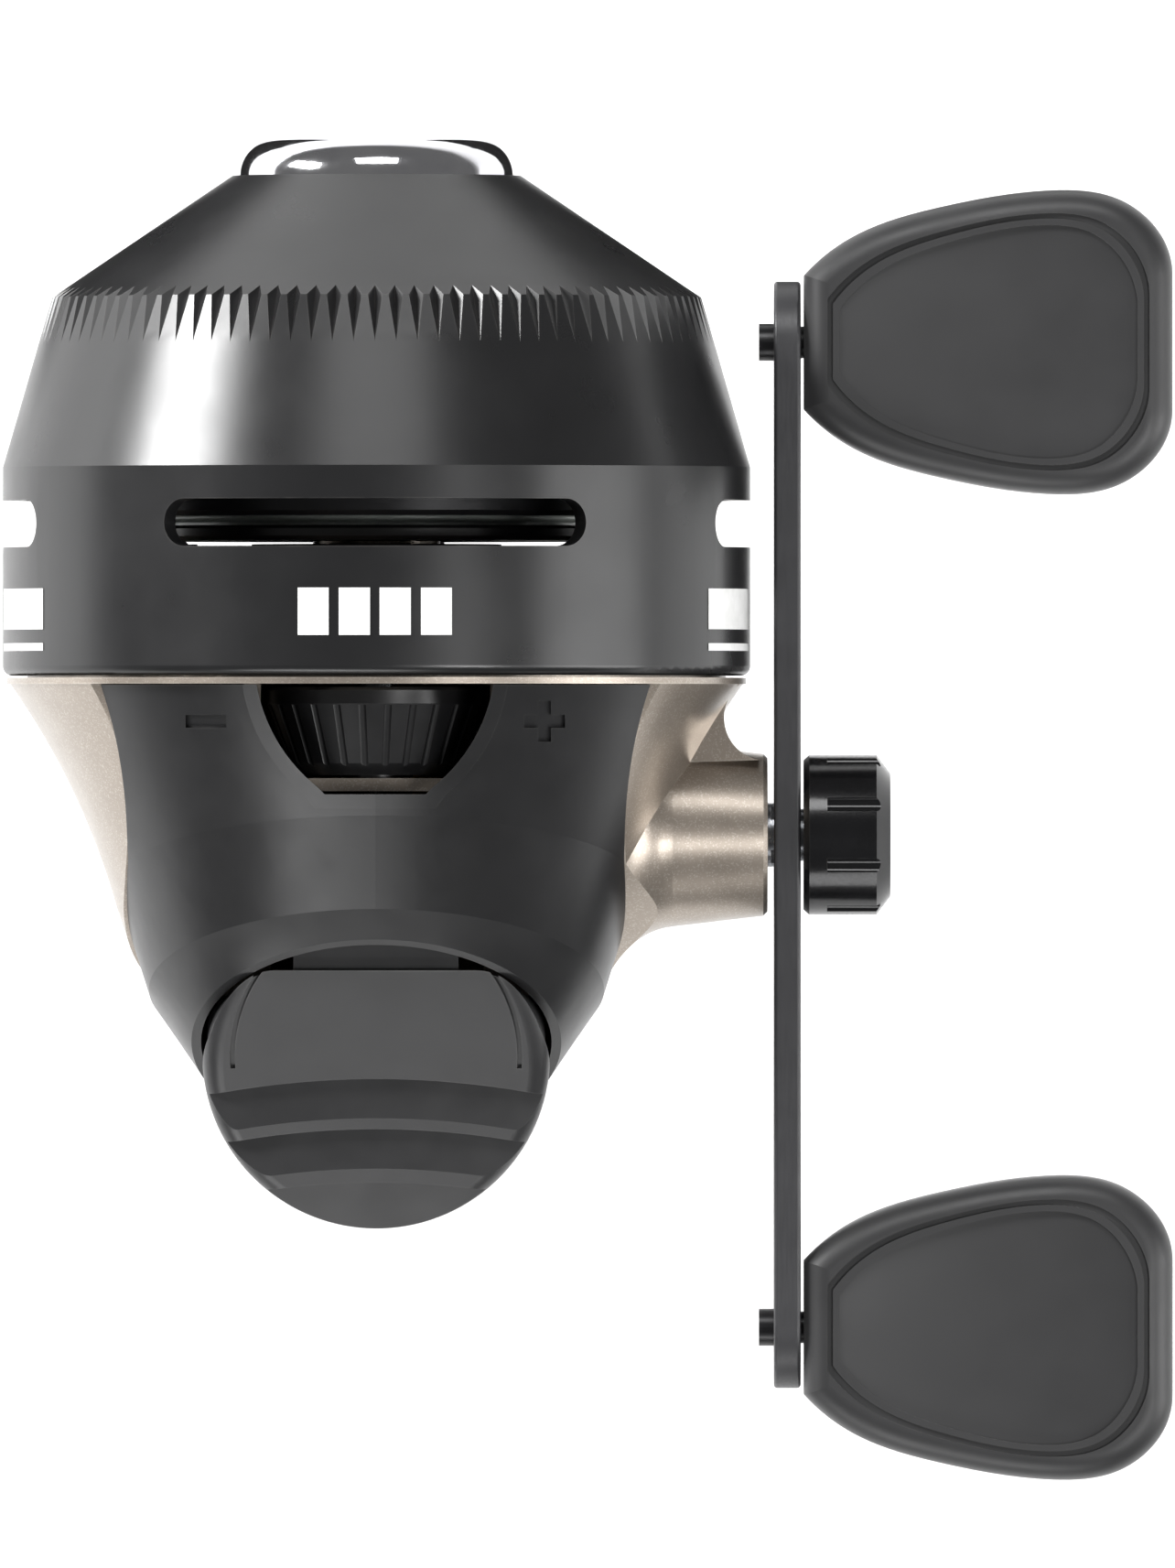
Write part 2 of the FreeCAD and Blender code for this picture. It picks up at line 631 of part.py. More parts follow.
def drive_gear():
    """Crown gear: teeth on the face that looks at the reel's axis."""
    outer = drive_pitch_r + face_width / 2
    inner = outer - face_width
    body = rod_x(outer + 0.2, gear_x, gear_back_x).fuse(rod_x(crank_shaft_r + 2.5, gear_x, ratchet_x))
    root_half, tip_half = 0.62, 0.27
    tip_x = pinion_pitch_r - addendum
    sections = []
    for radius in (inner, outer):
        sections.append(Part.makePolygon([
            V(gear_x + 0.1, radius, -root_half), V(tip_x, radius, -tip_half),
            V(tip_x, radius, tip_half), V(gear_x + 0.1, radius, root_half),
            V(gear_x + 0.1, radius, -root_half)]))
    tooth = Part.makeLoft(sections, True, True)
    hole = rod_x(1.5, gear_x - 1, gear_back_x + 1, drive_pitch_r - 3.0)
    body = body.cut(Part.Compound(around(hole, 6, X_AXIS, start=30)))
    body = body.fuse(around(tooth, drive_teeth, X_AXIS))
    return body.cut(rod_x(crank_shaft_r, 0, bearing_x))


def ratchet():
    """Saw-toothed disc that the pawl stops from turning backwards."""
    outer, root = ratchet_r, ratchet_root_r
    step = 2 * math.pi / ratchet_teeth
    points = []
    for i in range(ratchet_teeth):
        turn = i * step - math.radians(ratchet_phase)
        points.append((root * math.cos(turn), root * math.sin(turn)))
        points.append((outer * math.cos(turn + 0.1 * step), outer * math.sin(turn + 0.1 * step)))
    disc = Part.Face(loop(points, lambda y, z: V(ratchet_x, y, z))).extrude(V(ratchet_thick, 0, 0))
    return disc.cut(rod_x(crank_shaft_r, 0, bearing_x))


def pawl():
    """Flat finger on its pin. It leans clear of the ratchet and tips up to catch a tooth."""
    start = ratchet_x + (ratchet_thick - pawl_thick) / 2
    tip_y, tip_z = 1.2, -7.75
    outline = [(pawl_y - 2.4, pawl_z - 1.0), (pawl_y - 2.2, pawl_z + 1.4), (tip_y + 0.6, tip_z + 0.2),
               (tip_y, tip_z - 0.5), (tip_y + 0.5, tip_z - 1.3)]
    finger = Part.Face(loop(outline, lambda y, z: V(start, y, z))).extrude(V(pawl_thick, 0, 0))
    hub = rod_x(pawl_hub_r, start, start + pawl_thick, pawl_y, pawl_z)
    return hub.fuse(finger).cut(rod_x(pawl_pin_r + fit, 0, 20, pawl_y, pawl_z))


def crank_arm():
    half = crank_length / 2 - arm_width / 2
    bar = block(arm_x, arm_x + arm_thick, -half, half, -arm_width / 2, arm_width / 2)
    bar = bar.fuse([rod_x(arm_width / 2, arm_x, arm_x + arm_thick, side * half) for side in (1, -1)])
    bar = bar.removeSplitter()
    rim = [e for e in bar.Edges if abs(e.BoundBox.XLength) < 1e-6]
    bar = bar.makeFillet(arm_edge, rim)
    holes = [block(arm_x - 1, arm_x + 5, -square / 2, square / 2, -square / 2, square / 2)]
    holes += [rod_x(knob_pin_r, arm_x - 1, arm_x + 5, side * knob_y) for side in (1, -1)]
    return bar.cut(Part.Compound(holes))


def crank_nut():
    radius, end = nut_r, nut_x + nut_length
    nut = turned_x([(nut_x, 0), (nut_x, radius - 0.5), (nut_x + 0.54, radius), (end - 1.3, radius),
                    (end, radius - 1.7), (end, 0)])
    grooves = around(rod_x(0.75, nut_x + 2.2, end + 1, radius + 0.25), 8, X_AXIS, start=22.5)
    dish = Part.makeCone(4.2, 3.4, 0.5, V(end + 0.01, 0, 0), V(-1, 0, 0))
    return nut.cut(Part.Compound(grooves + [dish, rod_x(shaft_stub_r, 0, nut_x + nut_grip)]))


def knob_pin(side):
    y = side * knob_y
    head = rod_x(knob_pin_r + 0.25, arm_x - 1.4, arm_x, y)
    shank = rod_x(knob_pin_r, arm_x, knob_pin_end, y)
    return head.fuse(shank)


def paddle_outline(inset, z):
    """Knob outline in plan: narrow at the root, widest two thirds out, flat at both ends."""
    x0 = knob_x + inset
    length = knob_length - gap - 2 * inset
    stations = [(0, 0.44), (0.157, 0.725), (0.377, 0.894), (0.667, 1), (0.858, 0.937), (0.957, 0.746),
                (1, 0.437)]
    sides = [[V(x0 + f * length, side * (w * knob_half_width - inset), z) for f, w in stations]
             for side in (1, -1)]
    curves = []
    for points in sides:
        curve = Part.BSplineCurve()
        curve.interpolate(points)
        curves.append(curve.toShape())
    ends = [Part.makeLine(sides[0][i], sides[1][i]) for i in (0, -1)]
    return Part.Wire(Part.__sortEdges__(curves + ends))


def knob(side):
    """Paddle knob, both faces with a groove inside the rim and a dished middle."""
    half = knob_thick / 2
    body = Part.Face(paddle_outline(0, -half)).extrude(V(0, 0, knob_thick))
    body = body.makeFillet(knob_edge, [e for e in body.Edges if e.BoundBox.ZLength < 0.001])
    dish_r, dish_depth, groove_depth = 150.0, 1.0, 0.4
    groove_in, groove_out, panel_in = knob_edge - 0.2, knob_edge + 0.3, knob_edge + 0.9
    cuts = [rod_x(knob_pin_r + fit, knob_x - 1, knob_pin_end + gap)]
    for face in (1, -1):
        inner, outer = half - groove_depth, half + 1
        low, high = sorted((face * inner, face * outer))
        prisms = [Part.Face(paddle_outline(inset, low)).extrude(V(0, 0, high - low))
                  for inset in (groove_in, groove_out)]
        cuts.append(prisms[0].cut(prisms[1]))
        low, high = sorted((face * (half - 2 * dish_depth), face * outer))
        panel = Part.Face(paddle_outline(panel_in, low)).extrude(V(0, 0, high - low))
        centre = V(knob_x + knob_length * 0.55, 0, face * (half + dish_r - dish_depth))
        cuts.append(panel.common(Part.makeSphere(dish_r, centre)))
    for cutter in cuts:
        body = body.cut(cutter)
    body.translate(V(0, side * knob_y, 0))
    return body


# ---------------------------------------------------------------- pinion, shaft and spinner


def pinion_gear():
    outer, root = pinion_pitch_r + addendum, pinion_pitch_r - 0.95
    middle_y = drive_pitch_r
    y0, y1 = middle_y - face_width / 2 - 0.7, middle_y + face_width / 2 + 0.4
    root_half, pitch_half, tip_half = 0.72, 0.5, 0.22
    blank = rod_y(root, y0, y1)
    points = [(root - 0.3, -root_half), (pinion_pitch_r, -pitch_half), (outer, -tip_half),
              (outer, tip_half), (pinion_pitch_r, pitch_half), (root - 0.3, root_half)]
    tooth = Part.Face(loop(points, lambda r, z: V(r, y0, z))).extrude(V(0, y1 - y0, 0))
    teeth = around(tooth, pinion_teeth, Y_AXIS, start=180.0 / pinion_teeth)
    journal = rod_y(journal_r, y1 - 0.1, yoke_y + 0.8)
    washer = rod_y(journal_r + 1.1, y1 - 0.01, y1 + 0.8)
    return blank.fuse(teeth + [journal, washer]).cut(rod_y(shaft_r + fit, 0, 30))


def center_shaft():
    """Sliding shaft. Its rear end is domed for the thumb button to push."""
    dome = 4.0
    rise = dome - math.sqrt(dome ** 2 - shaft_r ** 2)
    dome_arc = ((shaft_r / 2, shaft_back_y + rise / 4.3), (shaft_r, shaft_back_y + rise))
    shaft = turned_y([(0, shaft_back_y), dome_arc, (shaft_r, shaft_front_y - 0.4),
                      (shaft_r - 0.4, shaft_front_y), (0, shaft_front_y)])
    return shaft.cut(tube_y(shaft_r + 1, shaft_r - 0.4, shaft_clip_y, shaft_clip_y + shaft_clip_thick))


def shaft_clip():
    mouth = 1.1
    ring = tube_y(shaft_r + 0.95, shaft_r - 0.4, shaft_clip_y, shaft_clip_y + shaft_clip_thick)
    return ring.cut(block(-mouth, mouth, shaft_clip_y - 1, shaft_clip_y + 2, -shaft_r - 2, 0))


def return_spring():
    wire_r, turns = 0.25, 8
    front = drive_pitch_r - face_width / 2 - 0.75
    back = shaft_clip_y + shaft_clip_thick + 0.05
    return coil_y(shaft_r + 0.2 + wire_r, wire_r, back, front, turns)


def spinner_head():
    """Cup over the spool's front flange, with guides and seats for its two pickup pins."""
    t, r, flat, boss_r, boss_y = head_wall, head_r, head_flat_y, 6.5, hub_end_y + 2.0
    outline = [(shaft_r, boss_y), (boss_r, boss_y), (boss_r, flat - t), (r - 7.5, flat - t),
               (r - 2.9, flat - 5.1), ((r - 1.8, flat - 6.1), (r - t, flat - 7.6)), (r - t, head_y),
               (r - 0.5, head_y), (r, head_y + 0.5), (r, flat - 7.0),
               ((r - 0.6, flat - 5.1), (r - 2.0, flat - 3.7)), (r - 7.0, flat), (shaft_r, flat)]
    cup = turned_y(outline)
    half, low = 2.4, pin_y - 1.6
    filled = turned_y([(0, low), (r - 0.4, low), (r - 0.4, flat - 7.0), (r - 2.2, flat - 4.0),
                       (r - 7.2, flat - 0.3), (0, flat - 0.3)])
    guides = []
    for side in (1, -1):
        for inner, outer, y0 in ((pin_guide_x, r - 0.5, low),
                                 (spring_seat_x - 0.8, spring_seat_x, low + 0.3)):
            near, far = sorted((side * inner, side * outer))
            guides.append(block(near, far, y0, flat - 0.5, -half, half).common(filled))
    cup = cup.fuse(guides)
    return cup.cut(rod_x(pin_r + fit, -30, 30, pin_y)).removeSplitter()


def spinner_nut():
    corner_r, height = 3.5, 2.4
    turns = [math.radians(a) for a in range(0, 361, 60)]
    corners = [V(corner_r * math.cos(a), head_flat_y, corner_r * math.sin(a)) for a in turns]
    hexagon = Part.makePolygon(corners)
    return Part.Face(hexagon).extrude(V(0, height, 0)).cut(rod_y(shaft_r, head_flat_y - 1, head_flat_y + 4))


def line_snubber():
    """Rubber ring that pinches the line against the nose when the button is down."""
    inner, outer, top = nose_r, nose_r + 3.0, head_flat_y + 4.4
    round_r = (outer - inner) / 2
    return turned_y([(inner, head_flat_y), (outer, head_flat_y), (outer, top - round_r),
                     ((inner + round_r, top), (inner, top - round_r))])


def pickup_pin(side):
    collar_x = pin_guide_x - 1.8
    shank = rod_x(pin_r, collar_x - 1.1, pin_tip_x, pin_y)
    collar = rod_x(pin_r + 0.7, collar_x, collar_x + 1.0, pin_y)
    pin = shank.fuse([collar, Part.makeSphere(pin_r, V(pin_tip_x, pin_y, 0))])
    if side < 0:
        pin.rotate(V(0, 0, 0), Y_AXIS, 180)
    return pin


def pin_spring(side):
    wire_r, turns = 0.15, 3
    seat, collar_x = spring_seat_x + 0.05, pin_guide_x - 1.85
    spring = coil_y(pin_r + 0.1 + wire_r, wire_r, seat, collar_x, turns)
    spring.rotate(V(0, 0, 0), Z_AXIS, -90)
    spring.translate(V(0, pin_y, 0))
    if side < 0:
        spring.rotate(V(0, 0, 0), Y_AXIS, 180)
    return spring


# ---------------------------------------------------------------- spool and drag


def spool():
    front = spool_y + spool_length
    bore, arbor = hub_r + fit, arbor_r
    rear_inner = spool_y + spool_flange
    return turned_y([(bore, spool_y), (spool_flange_r - 0.4, spool_y), (spool_flange_r, spool_y + 0.4),
                     (spool_flange_r, rear_inner - 0.3), (spool_flange_r - 0.3, rear_inner),
                     (arbor, rear_inner), (arbor, front - 1.2), (spool_front_r - 0.3, front - 1.2),
                     (spool_front_r, front - 0.9), (spool_front_r, front - 0.3),
                     (spool_front_r - 0.3, front), (bore, front)])


def wound_line():
    back, front = spool_y + spool_flange, spool_y + spool_length - 1.2
    crown = 0.5
    return turned_y([(arbor_r, back), (line_r, back), ((line_r + crown, (back + front) / 2), (line_r, front)),
                     (arbor_r, front)])


def drag_yoke():
    """Plate pressed by the drag screw. It slides on the spool post and on the guide pin."""
    y0, y1 = yoke_y, yoke_y + yoke_thick
    arm_half, ear_half = 4.0, 2.6
    plate = rod_y(washer_r - 0.5, y0, y1).fuse([
        block(-arm_half, arm_half, y0, y1, hub_r, wheel_z + drag_screw_r + 1.4),
        block(guide_pin_x - 2.2, -hub_r, y0, y1, -ear_half, ear_half)])
    holes = [rod_y(hub_r + gap + 0.05, y0 - 1, y1 + 1),
             rod_y(guide_pin_r + fit, y0 - 1, y1 + 1, guide_pin_x)]
    return plate.cut(Part.Compound(holes))


def drag_washer():
    y0 = yoke_y + yoke_thick
    return tube_y(washer_r, hub_r + gap + 0.05, y0, y0 + washer_thick)


def drag_screw():
    """Threaded in the drag wheel, so that the wheel's turning moves it along."""
    return rod_y(drag_screw_r, wheel_back_y - 1.0, yoke_y, 0, wheel_z)


def drag_wheel():
    y0, y1 = wheel_back_y, wheel_front_y
    back_r = wheel_r - 2.1
    points = [(0, y0 - 1.3), (wheel_axle_r, y0 - 1.3), (wheel_axle_r, y0), (back_r - 1.4, y0),
              (back_r, y0 + 1.1), (wheel_r, y1 - 1.55), (wheel_r, y1 - 0.3), (wheel_r - 0.3, y1), (0, y1)]
    wheel = turned_y(points)
    valley = 0.42
    slope = math.atan2(wheel_r - back_r, y1 - 1.55 - y0 - 1.1)
    groove = rod_y(valley, y0 - 3, y1 - 1.75, wheel_r + 0.16)
    groove.rotate(V(wheel_r + 0.16, y1 - 1.75, 0), Z_AXIS, -math.degrees(slope))
    wheel = wheel.cut(Part.Compound(around(groove, wheel_ribs)))
    wheel = wheel.cut(rod_y(drag_screw_r + fit, y0 - 3, y1 + 1))
    wheel.translate(V(0, 0, wheel_z))
    return wheel


# ---------------------------------------------------------------- thumb button


def pad_height(y):
    return pad_rear_z + (y - pad_rear_y) * math.tan(math.radians(pad_slope))


def half_space(y, z, lean):
    """Everything beyond the point (y, z), in the direction that leans back from up by lean degrees."""
    size = 200.0
    box = Part.makeBox(size, size, size, V(-size / 2, -size / 2, 0))
    box.rotate(V(0, 0, 0), X_AXIS, lean)
    box.translate(V(0, y, z))
    return box


def button_room(inset):
    """Where the button can be: it passes the opening's rim anywhere between rest and fully pressed."""
    radius = button_reach - inset
    upper = opening_bore(radius, 30, 40).common(half_space(opening_y, opening_z, -opening_tilt))
    outside = half_space(opening_y - 1.0, opening_z, 90 - opening_tilt)
    outside.rotate(V(0, hinge_y, hinge_z), X_AXIS, -press_angle)
    return opening_sweep(radius).fuse([upper, outside])


def button_slab(inset, drop, depth):
    """Round layer of the thumb button between two sloping planes, drop and depth below the pad."""
    y0, y1 = pad_rear_y - 3, hinge_y + 6
    layer = slab_yz([(y0, pad_height(y0) - drop), (y1, pad_height(y1) - drop),
                     (y1, pad_height(y1) - depth), (y0, pad_height(y0) - depth)], 30)
    return layer.common(Part.makeCylinder(button_r - inset, 60, V(0, button_y, -30)))


def button_skirt(inset, drop):
    """Part below the pad that fills the opening and swings past its lower lip."""
    lean = math.radians(opening_tilt)
    lip_r = math.hypot(opening_y - opening_r * math.sin(lean) - hinge_y,
                       opening_z - opening_r * math.cos(lean) - hinge_z)
    lip_slack = 0.8         # the cover's wall bulges towards the hinge beside the lip
    sweep = rod_x(lip_r - gap - lip_slack - inset, -30, 30, hinge_y, hinge_z)
    skirt = button_slab(inset, drop, 40).common(sweep)
    return skirt.common(opening_bore(opening_r + 3, 3.5 + inset, 40)).common(button_room(inset))


def tread_cutters():
    """Three saw-tooth steps across the pad. Their walls face backwards and arch a little."""
    lean = math.radians(pad_slope)
    down, out = V(0, -math.cos(lean), -math.sin(lean)), V(0, -math.sin(lean), math.cos(lean))
    first_y, arch, depth = -22.8, 73.0, 0.85
    origin = V(0, first_y, pad_height(first_y))
    centre = origin + down * arch
    steps = [(0.0, 4.1), (5.26, 9.4), (10.85, 18.0)]
    cutters = []
    for crest, line in steps:
        end_depth = 0.0 if line < 15 else depth
        corners = [(crest, 1.5), (crest, 0), (crest + 0.3, -depth), (line, -end_depth), (line, 1.5)]
        face = Part.Face(loop(corners, lambda q, h: origin + down * q + out * h))
        cutter = face.revolve(centre, out, 28)
        cutter.rotate(centre, out, -14)
        cutters.append(cutter)
    return cutters


def panel_groove():
    """Thin arc inside the pad's front edge, from one end of the first tread to the other."""
    radius, width, depth = button_r - 2.6, 0.45, 0.4
    ring = Part.makeCylinder(radius, 60, V(0, button_y, -30)).cut(
        Part.makeCylinder(radius - width, 60, V(0, button_y, -30)))
    return ring.common(button_slab(0, -1, depth)).common(block(-30, 30, button_y - 1.2, 30, -30, 60))


def thumb_button():
    """Thumb pad with treads, its hinge barrel, and the pusher that meets the shaft."""
    skin, rounding = 1.8, 2.0
    pad = button_slab(0, 0, button_depth)
    pad = pad.makeFillet(rounding, [e for e in pad.Edges if e.BoundBox.YLength > 5 and top_edge(e)])
    pad = pad.cut(Part.Compound(tread_cutters() + [panel_groove()])).common(button_room(0))
    shell = pad.fuse(button_skirt(0, rounding + 0.6))
    shell = shell.cut(button_skirt(skin, skin + 0.8))
    front_y = hinge_y - 1.6
    shell = shell.cut(block(-30, 30, front_y, 20, -30, 60)).cut(rod_x(3.0, -30, 30, hinge_y, hinge_z))
    half_arm = rib_in - gap
    back_y = hinge_y - 6.0
    arm = slab_yz([(back_y, pad_height(back_y) - 2.6), (back_y, pad_height(back_y) - 0.5),
                   (hinge_y, hinge_z + 2.2), (hinge_y, hinge_z - 2.2)], half_arm)
    barrel = rod_x(2.2, -half_arm, half_arm, hinge_y, hinge_z)
    face_y = shaft_back_y - gap
    top_y = face_y - 3.2
    pusher = slab_yz([(face_y, -3.0), (face_y - 2.2, -3.0), (top_y, pad_height(top_y) - 1.4),
                      (face_y, pad_height(face_y) - 1.4)], 2.8)
    return shell.fuse([arm, barrel, pusher]).cut(rod_x(hinge_pin_r + fit, -20, 20, hinge_y, hinge_z))


def top_edge(edge):
    """True for an edge that lies in the pad's sloping plane."""
    middle = edge.valueAt((edge.FirstParameter + edge.LastParameter) / 2)
    ends = [v.Point for v in edge.Vertexes]
    return all(abs(p.z - pad_height(p.y)) < 0.01 for p in ends + [middle])


def button_pin():
    return rod_x(hinge_pin_r, -rib_out, rib_out, hinge_y, hinge_z)


# ---------------------------------------------------------------- all pieces


def main():
    os.makedirs("parts", exist_ok=True)
    save("front_cover", front_cover())
    save("line_guide_ring", line_guide_ring())
    save("housing", housing())
    save("back_cover", back_cover())
    save("cover_screws", cover_screws())
    save("foot", foot())
    save("foot_screws", foot_screws())
    save("deck_bush", deck_bush())
    save("crank_bush_inner", crank_bush(inner_bush_start, inner_bush_end))
    save("crank_bush_outer", crank_bush(outer_bush_start, boss_end_x))
    save("pawl_pin", pawl_pin())
    save("spool_clip", spool_clip())
    save("drag_guide_pin", drag_guide_pin())
    save("button_pin", button_pin())
    save("crank_shaft", crank_shaft())
    save("gear_clip", gear_clip())
    save("drive_gear", drive_gear())
    save("ratchet", ratchet())
    save("pawl", pawl())
    save("crank_arm", crank_arm())
    save("crank_nut", crank_nut())
    for name, side in (("front", 1), ("rear", -1)):
        save("knob_pin_" + name, knob_pin(side))
        save("knob_" + name, knob(side))
    save("pinion_gear", pinion_gear())
    save("center_shaft", center_shaft())
    save("shaft_clip", shaft_clip())
    save("return_spring", return_spring())
    save("spinner_head", spinner_head())
    save("spinner_nut", spinner_nut())
    save("line_snubber", line_snubber())
    for name, side in (("a", 1), ("b", -1)):
        save("pickup_pin_" + name, pickup_pin(side))
        save("pin_spring_" + name, pin_spring(side))
    save("spool", spool())
    save("wound_line", wound_line())
    save("drag_yoke", drag_yoke())
    save("drag_washer", drag_washer())
    save("drag_screw", drag_screw())
    save("drag_wheel", drag_wheel())
    save("thumb_button", thumb_button())


main()
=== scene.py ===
import json
import math

import bmesh
import bpy
from mathutils import Matrix, Vector


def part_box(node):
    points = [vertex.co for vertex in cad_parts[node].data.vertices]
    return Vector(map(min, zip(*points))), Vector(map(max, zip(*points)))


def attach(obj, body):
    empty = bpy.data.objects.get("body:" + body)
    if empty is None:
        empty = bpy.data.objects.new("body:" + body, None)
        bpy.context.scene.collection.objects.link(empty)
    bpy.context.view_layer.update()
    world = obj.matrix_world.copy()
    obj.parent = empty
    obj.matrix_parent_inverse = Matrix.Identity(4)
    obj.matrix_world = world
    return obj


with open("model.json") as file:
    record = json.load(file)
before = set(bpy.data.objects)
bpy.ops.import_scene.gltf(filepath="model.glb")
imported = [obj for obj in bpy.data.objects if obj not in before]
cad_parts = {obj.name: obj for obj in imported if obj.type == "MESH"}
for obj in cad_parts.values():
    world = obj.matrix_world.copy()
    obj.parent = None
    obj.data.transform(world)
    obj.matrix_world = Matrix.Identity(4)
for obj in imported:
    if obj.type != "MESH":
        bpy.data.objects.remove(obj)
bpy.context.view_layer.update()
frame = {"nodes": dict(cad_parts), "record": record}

nodes = frame["nodes"]
millimetre = 0.001


def centreOf(node):
    low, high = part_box(node)
    return (low + high) / 2


axisZ = centreOf("center_shaft").z      # height of the reel's own axis
crankY = centreOf("crank_nut").y


# colour and node helpers

def hexToLinear(text, alpha=1.0):      # sRGB hex to the linear colour that the shader wants
    values = []
    for i in (0, 2, 4):
        channel = int(text.lstrip("#")[i:i + 2], 16) / 255
        values.append(channel / 12.92 if channel <= 0.04045 else ((channel + 0.055) / 1.055) ** 2.4)
    return (*values, alpha)


def addNode(tree, kind, settings=None, values=None, links=None):
    node = tree.nodes.new(kind)
    for name, value in (settings or {}).items():
        setattr(node, name, value)
    for name, value in (values or {}).items():
        node.inputs[name].default_value = value
    for name, socket in (links or {}).items():
        tree.links.new(socket, node.inputs[name])
    return node


def newMaterial(name, shader):
    material = bpy.data.materials.new(name)
    material.use_nodes = True
    tree = material.node_tree
    tree.nodes.clear()
    output = addNode(tree, "ShaderNodeOutputMaterial")
    principled = addNode(tree, "ShaderNodeBsdfPrincipled", values=shader)
    tree.links.new(principled.outputs["BSDF"], output.inputs["Surface"])
    place = addNode(tree, "ShaderNodeTexCoord").outputs["Object"]
    return material, tree, principled, place


def perMillimetre(size):      # noise scale for blotches about this many millimetres across
    return 1 / (size * millimetre)


def addRange(tree, value, fromLow, fromHigh, toLow, toHigh):
    return addNode(tree, "ShaderNodeMapRange",
                   values={"From Min": fromLow, "From Max": fromHigh, "To Min": toLow, "To Max": toHigh},
                   links={"Value": value}).outputs["Result"]


wearLook = {"patchSize": 3.5, "leanFrom": 0.995, "leanTo": 0.86, "patchFrom": 0.42, "patchTo": 0.62}


def edgeWear(tree, place, radius, amount):
    # 0 on flat faces, up to 1 on worn edges: the rounded normal leans away from the true one there
    rounded = addNode(tree, "ShaderNodeBevel", {"samples": 6}, {"Radius": radius * millimetre})
    straight = addNode(tree, "ShaderNodeNewGeometry")
    match = addNode(tree, "ShaderNodeVectorMath", {"operation": "DOT_PRODUCT"},
                    links={0: rounded.outputs["Normal"], 1: straight.outputs["Normal"]})
    rubbed = addNode(tree, "ShaderNodeTexNoise",
                     values={"Scale": perMillimetre(wearLook["patchSize"]), "Detail": 5.0, "Roughness": 0.6},
                     links={"Vector": place})
    lean = addRange(tree, match.outputs["Value"], wearLook["leanFrom"], wearLook["leanTo"], 0.0, 1.0)
    patch = addRange(tree, rubbed.outputs["Fac"], wearLook["patchFrom"], wearLook["patchTo"], 0.15, 1.0)
    both = addNode(tree, "ShaderNodeMath", {"operation": "MULTIPLY"}, links={0: lean, 1: patch})
    return addNode(tree, "ShaderNodeMath", {"operation": "MULTIPLY", "use_clamp": True}, {1: amount},
                   {0: both.outputs["Value"]}).outputs["Value"]


def mottle(tree, place, size, low, high, detail=4.0):      # slow patches between two numbers
    noise = addNode(tree, "ShaderNodeTexNoise", values={"Scale": perMillimetre(size), "Detail": detail},
                    links={"Vector": place})
    return addRange(tree, noise.outputs["Fac"], 0.3, 0.7, low, high)


def mixColours(tree, factor, first, second):
    mix = addNode(tree, "ShaderNodeMix", {"data_type": "RGBA"})
    tree.links.new(factor, mix.inputs[0])
    for socket, colour in ((mix.inputs[6], first), (mix.inputs[7], second)):
        if isinstance(colour, str):
            socket.default_value = hexToLinear(colour)
        else:
            tree.links.new(colour, socket)
    return mix.outputs[2]


def addBump(tree, principled, height, strength, depth):
    bump = addNode(tree, "ShaderNodeBump", values={"Strength": strength, "Distance": depth * millimetre},
                   links={"Height": height})
    tree.links.new(bump.outputs["Normal"], principled.inputs["Normal"])


# materials: each is named for its real finish, and its note says what that gives the eye

coatLook = {"name": "satinBlackCoat", "dark": "#171718", "light": "#1b1b1c", "worn": "#4a4846",
            "roughness": (0.27, 0.32), "peel": 0.7}


def satinBlackCoat(look=coatLook):
    # Satin black baked coat on spun aluminium: soft wide highlights, faint orange peel, edges rubbed paler
    material, tree, principled, place = newMaterial(look["name"], {"IOR": 1.5, "Specular IOR Level": 0.5})
    wear = edgeWear(tree, place, 0.3, 0.5)
    patches = mottle(tree, place, 14, 0.0, 1.0)
    colour = mixColours(tree, patches, look["dark"], look["light"])
    tree.links.new(mixColours(tree, wear, colour, look["worn"]), principled.inputs["Base Color"])
    tree.links.new(mottle(tree, place, 6, *look["roughness"]), principled.inputs["Roughness"])
    peel = addNode(tree, "ShaderNodeTexNoise", values={"Scale": perMillimetre(look["peel"]), "Detail": 2.0},
                   links={"Vector": place})
    addBump(tree, principled, peel.outputs["Fac"], 0.12, 0.02)
    return material


shellLook = {"name": "mouldedBlackNylon", "dark": "#19191a", "light": "#1e1e1f", "worn": "#3e3d3c",
             "roughness": (0.3, 0.36), "grain": 0.45}


def mouldedBlackNylon(look=shellLook):
    # Glass-filled nylon from a fine spark-eroded mould: low sheen, small even grain
    material, tree, principled, place = newMaterial(look["name"], {"IOR": 1.53})
    wear = edgeWear(tree, place, 0.25, 0.4)
    colour = mixColours(tree, mottle(tree, place, 10, 0.0, 1.0), look["dark"], look["light"])
    tree.links.new(mixColours(tree, wear, colour, look["worn"]), principled.inputs["Base Color"])
    tree.links.new(mottle(tree, place, 4, *look["roughness"]), principled.inputs["Roughness"])
    grain = addNode(tree, "ShaderNodeTexNoise", values={"Scale": perMillimetre(look["grain"]), "Detail": 3.0},
                    links={"Vector": place})
    addBump(tree, principled, grain.outputs["Fac"], 0.15, 0.02)
    return material


champagneLook = {"name": "champagneFlakePaint", "base": "#948a7f", "light": "#9e9489", "flake": "#c0b7ac",
                 "worn": "#d9d2c8", "roughness": (0.3, 0.36), "flakeSize": 0.12, "flakeCover": (0.72, 0.55)}


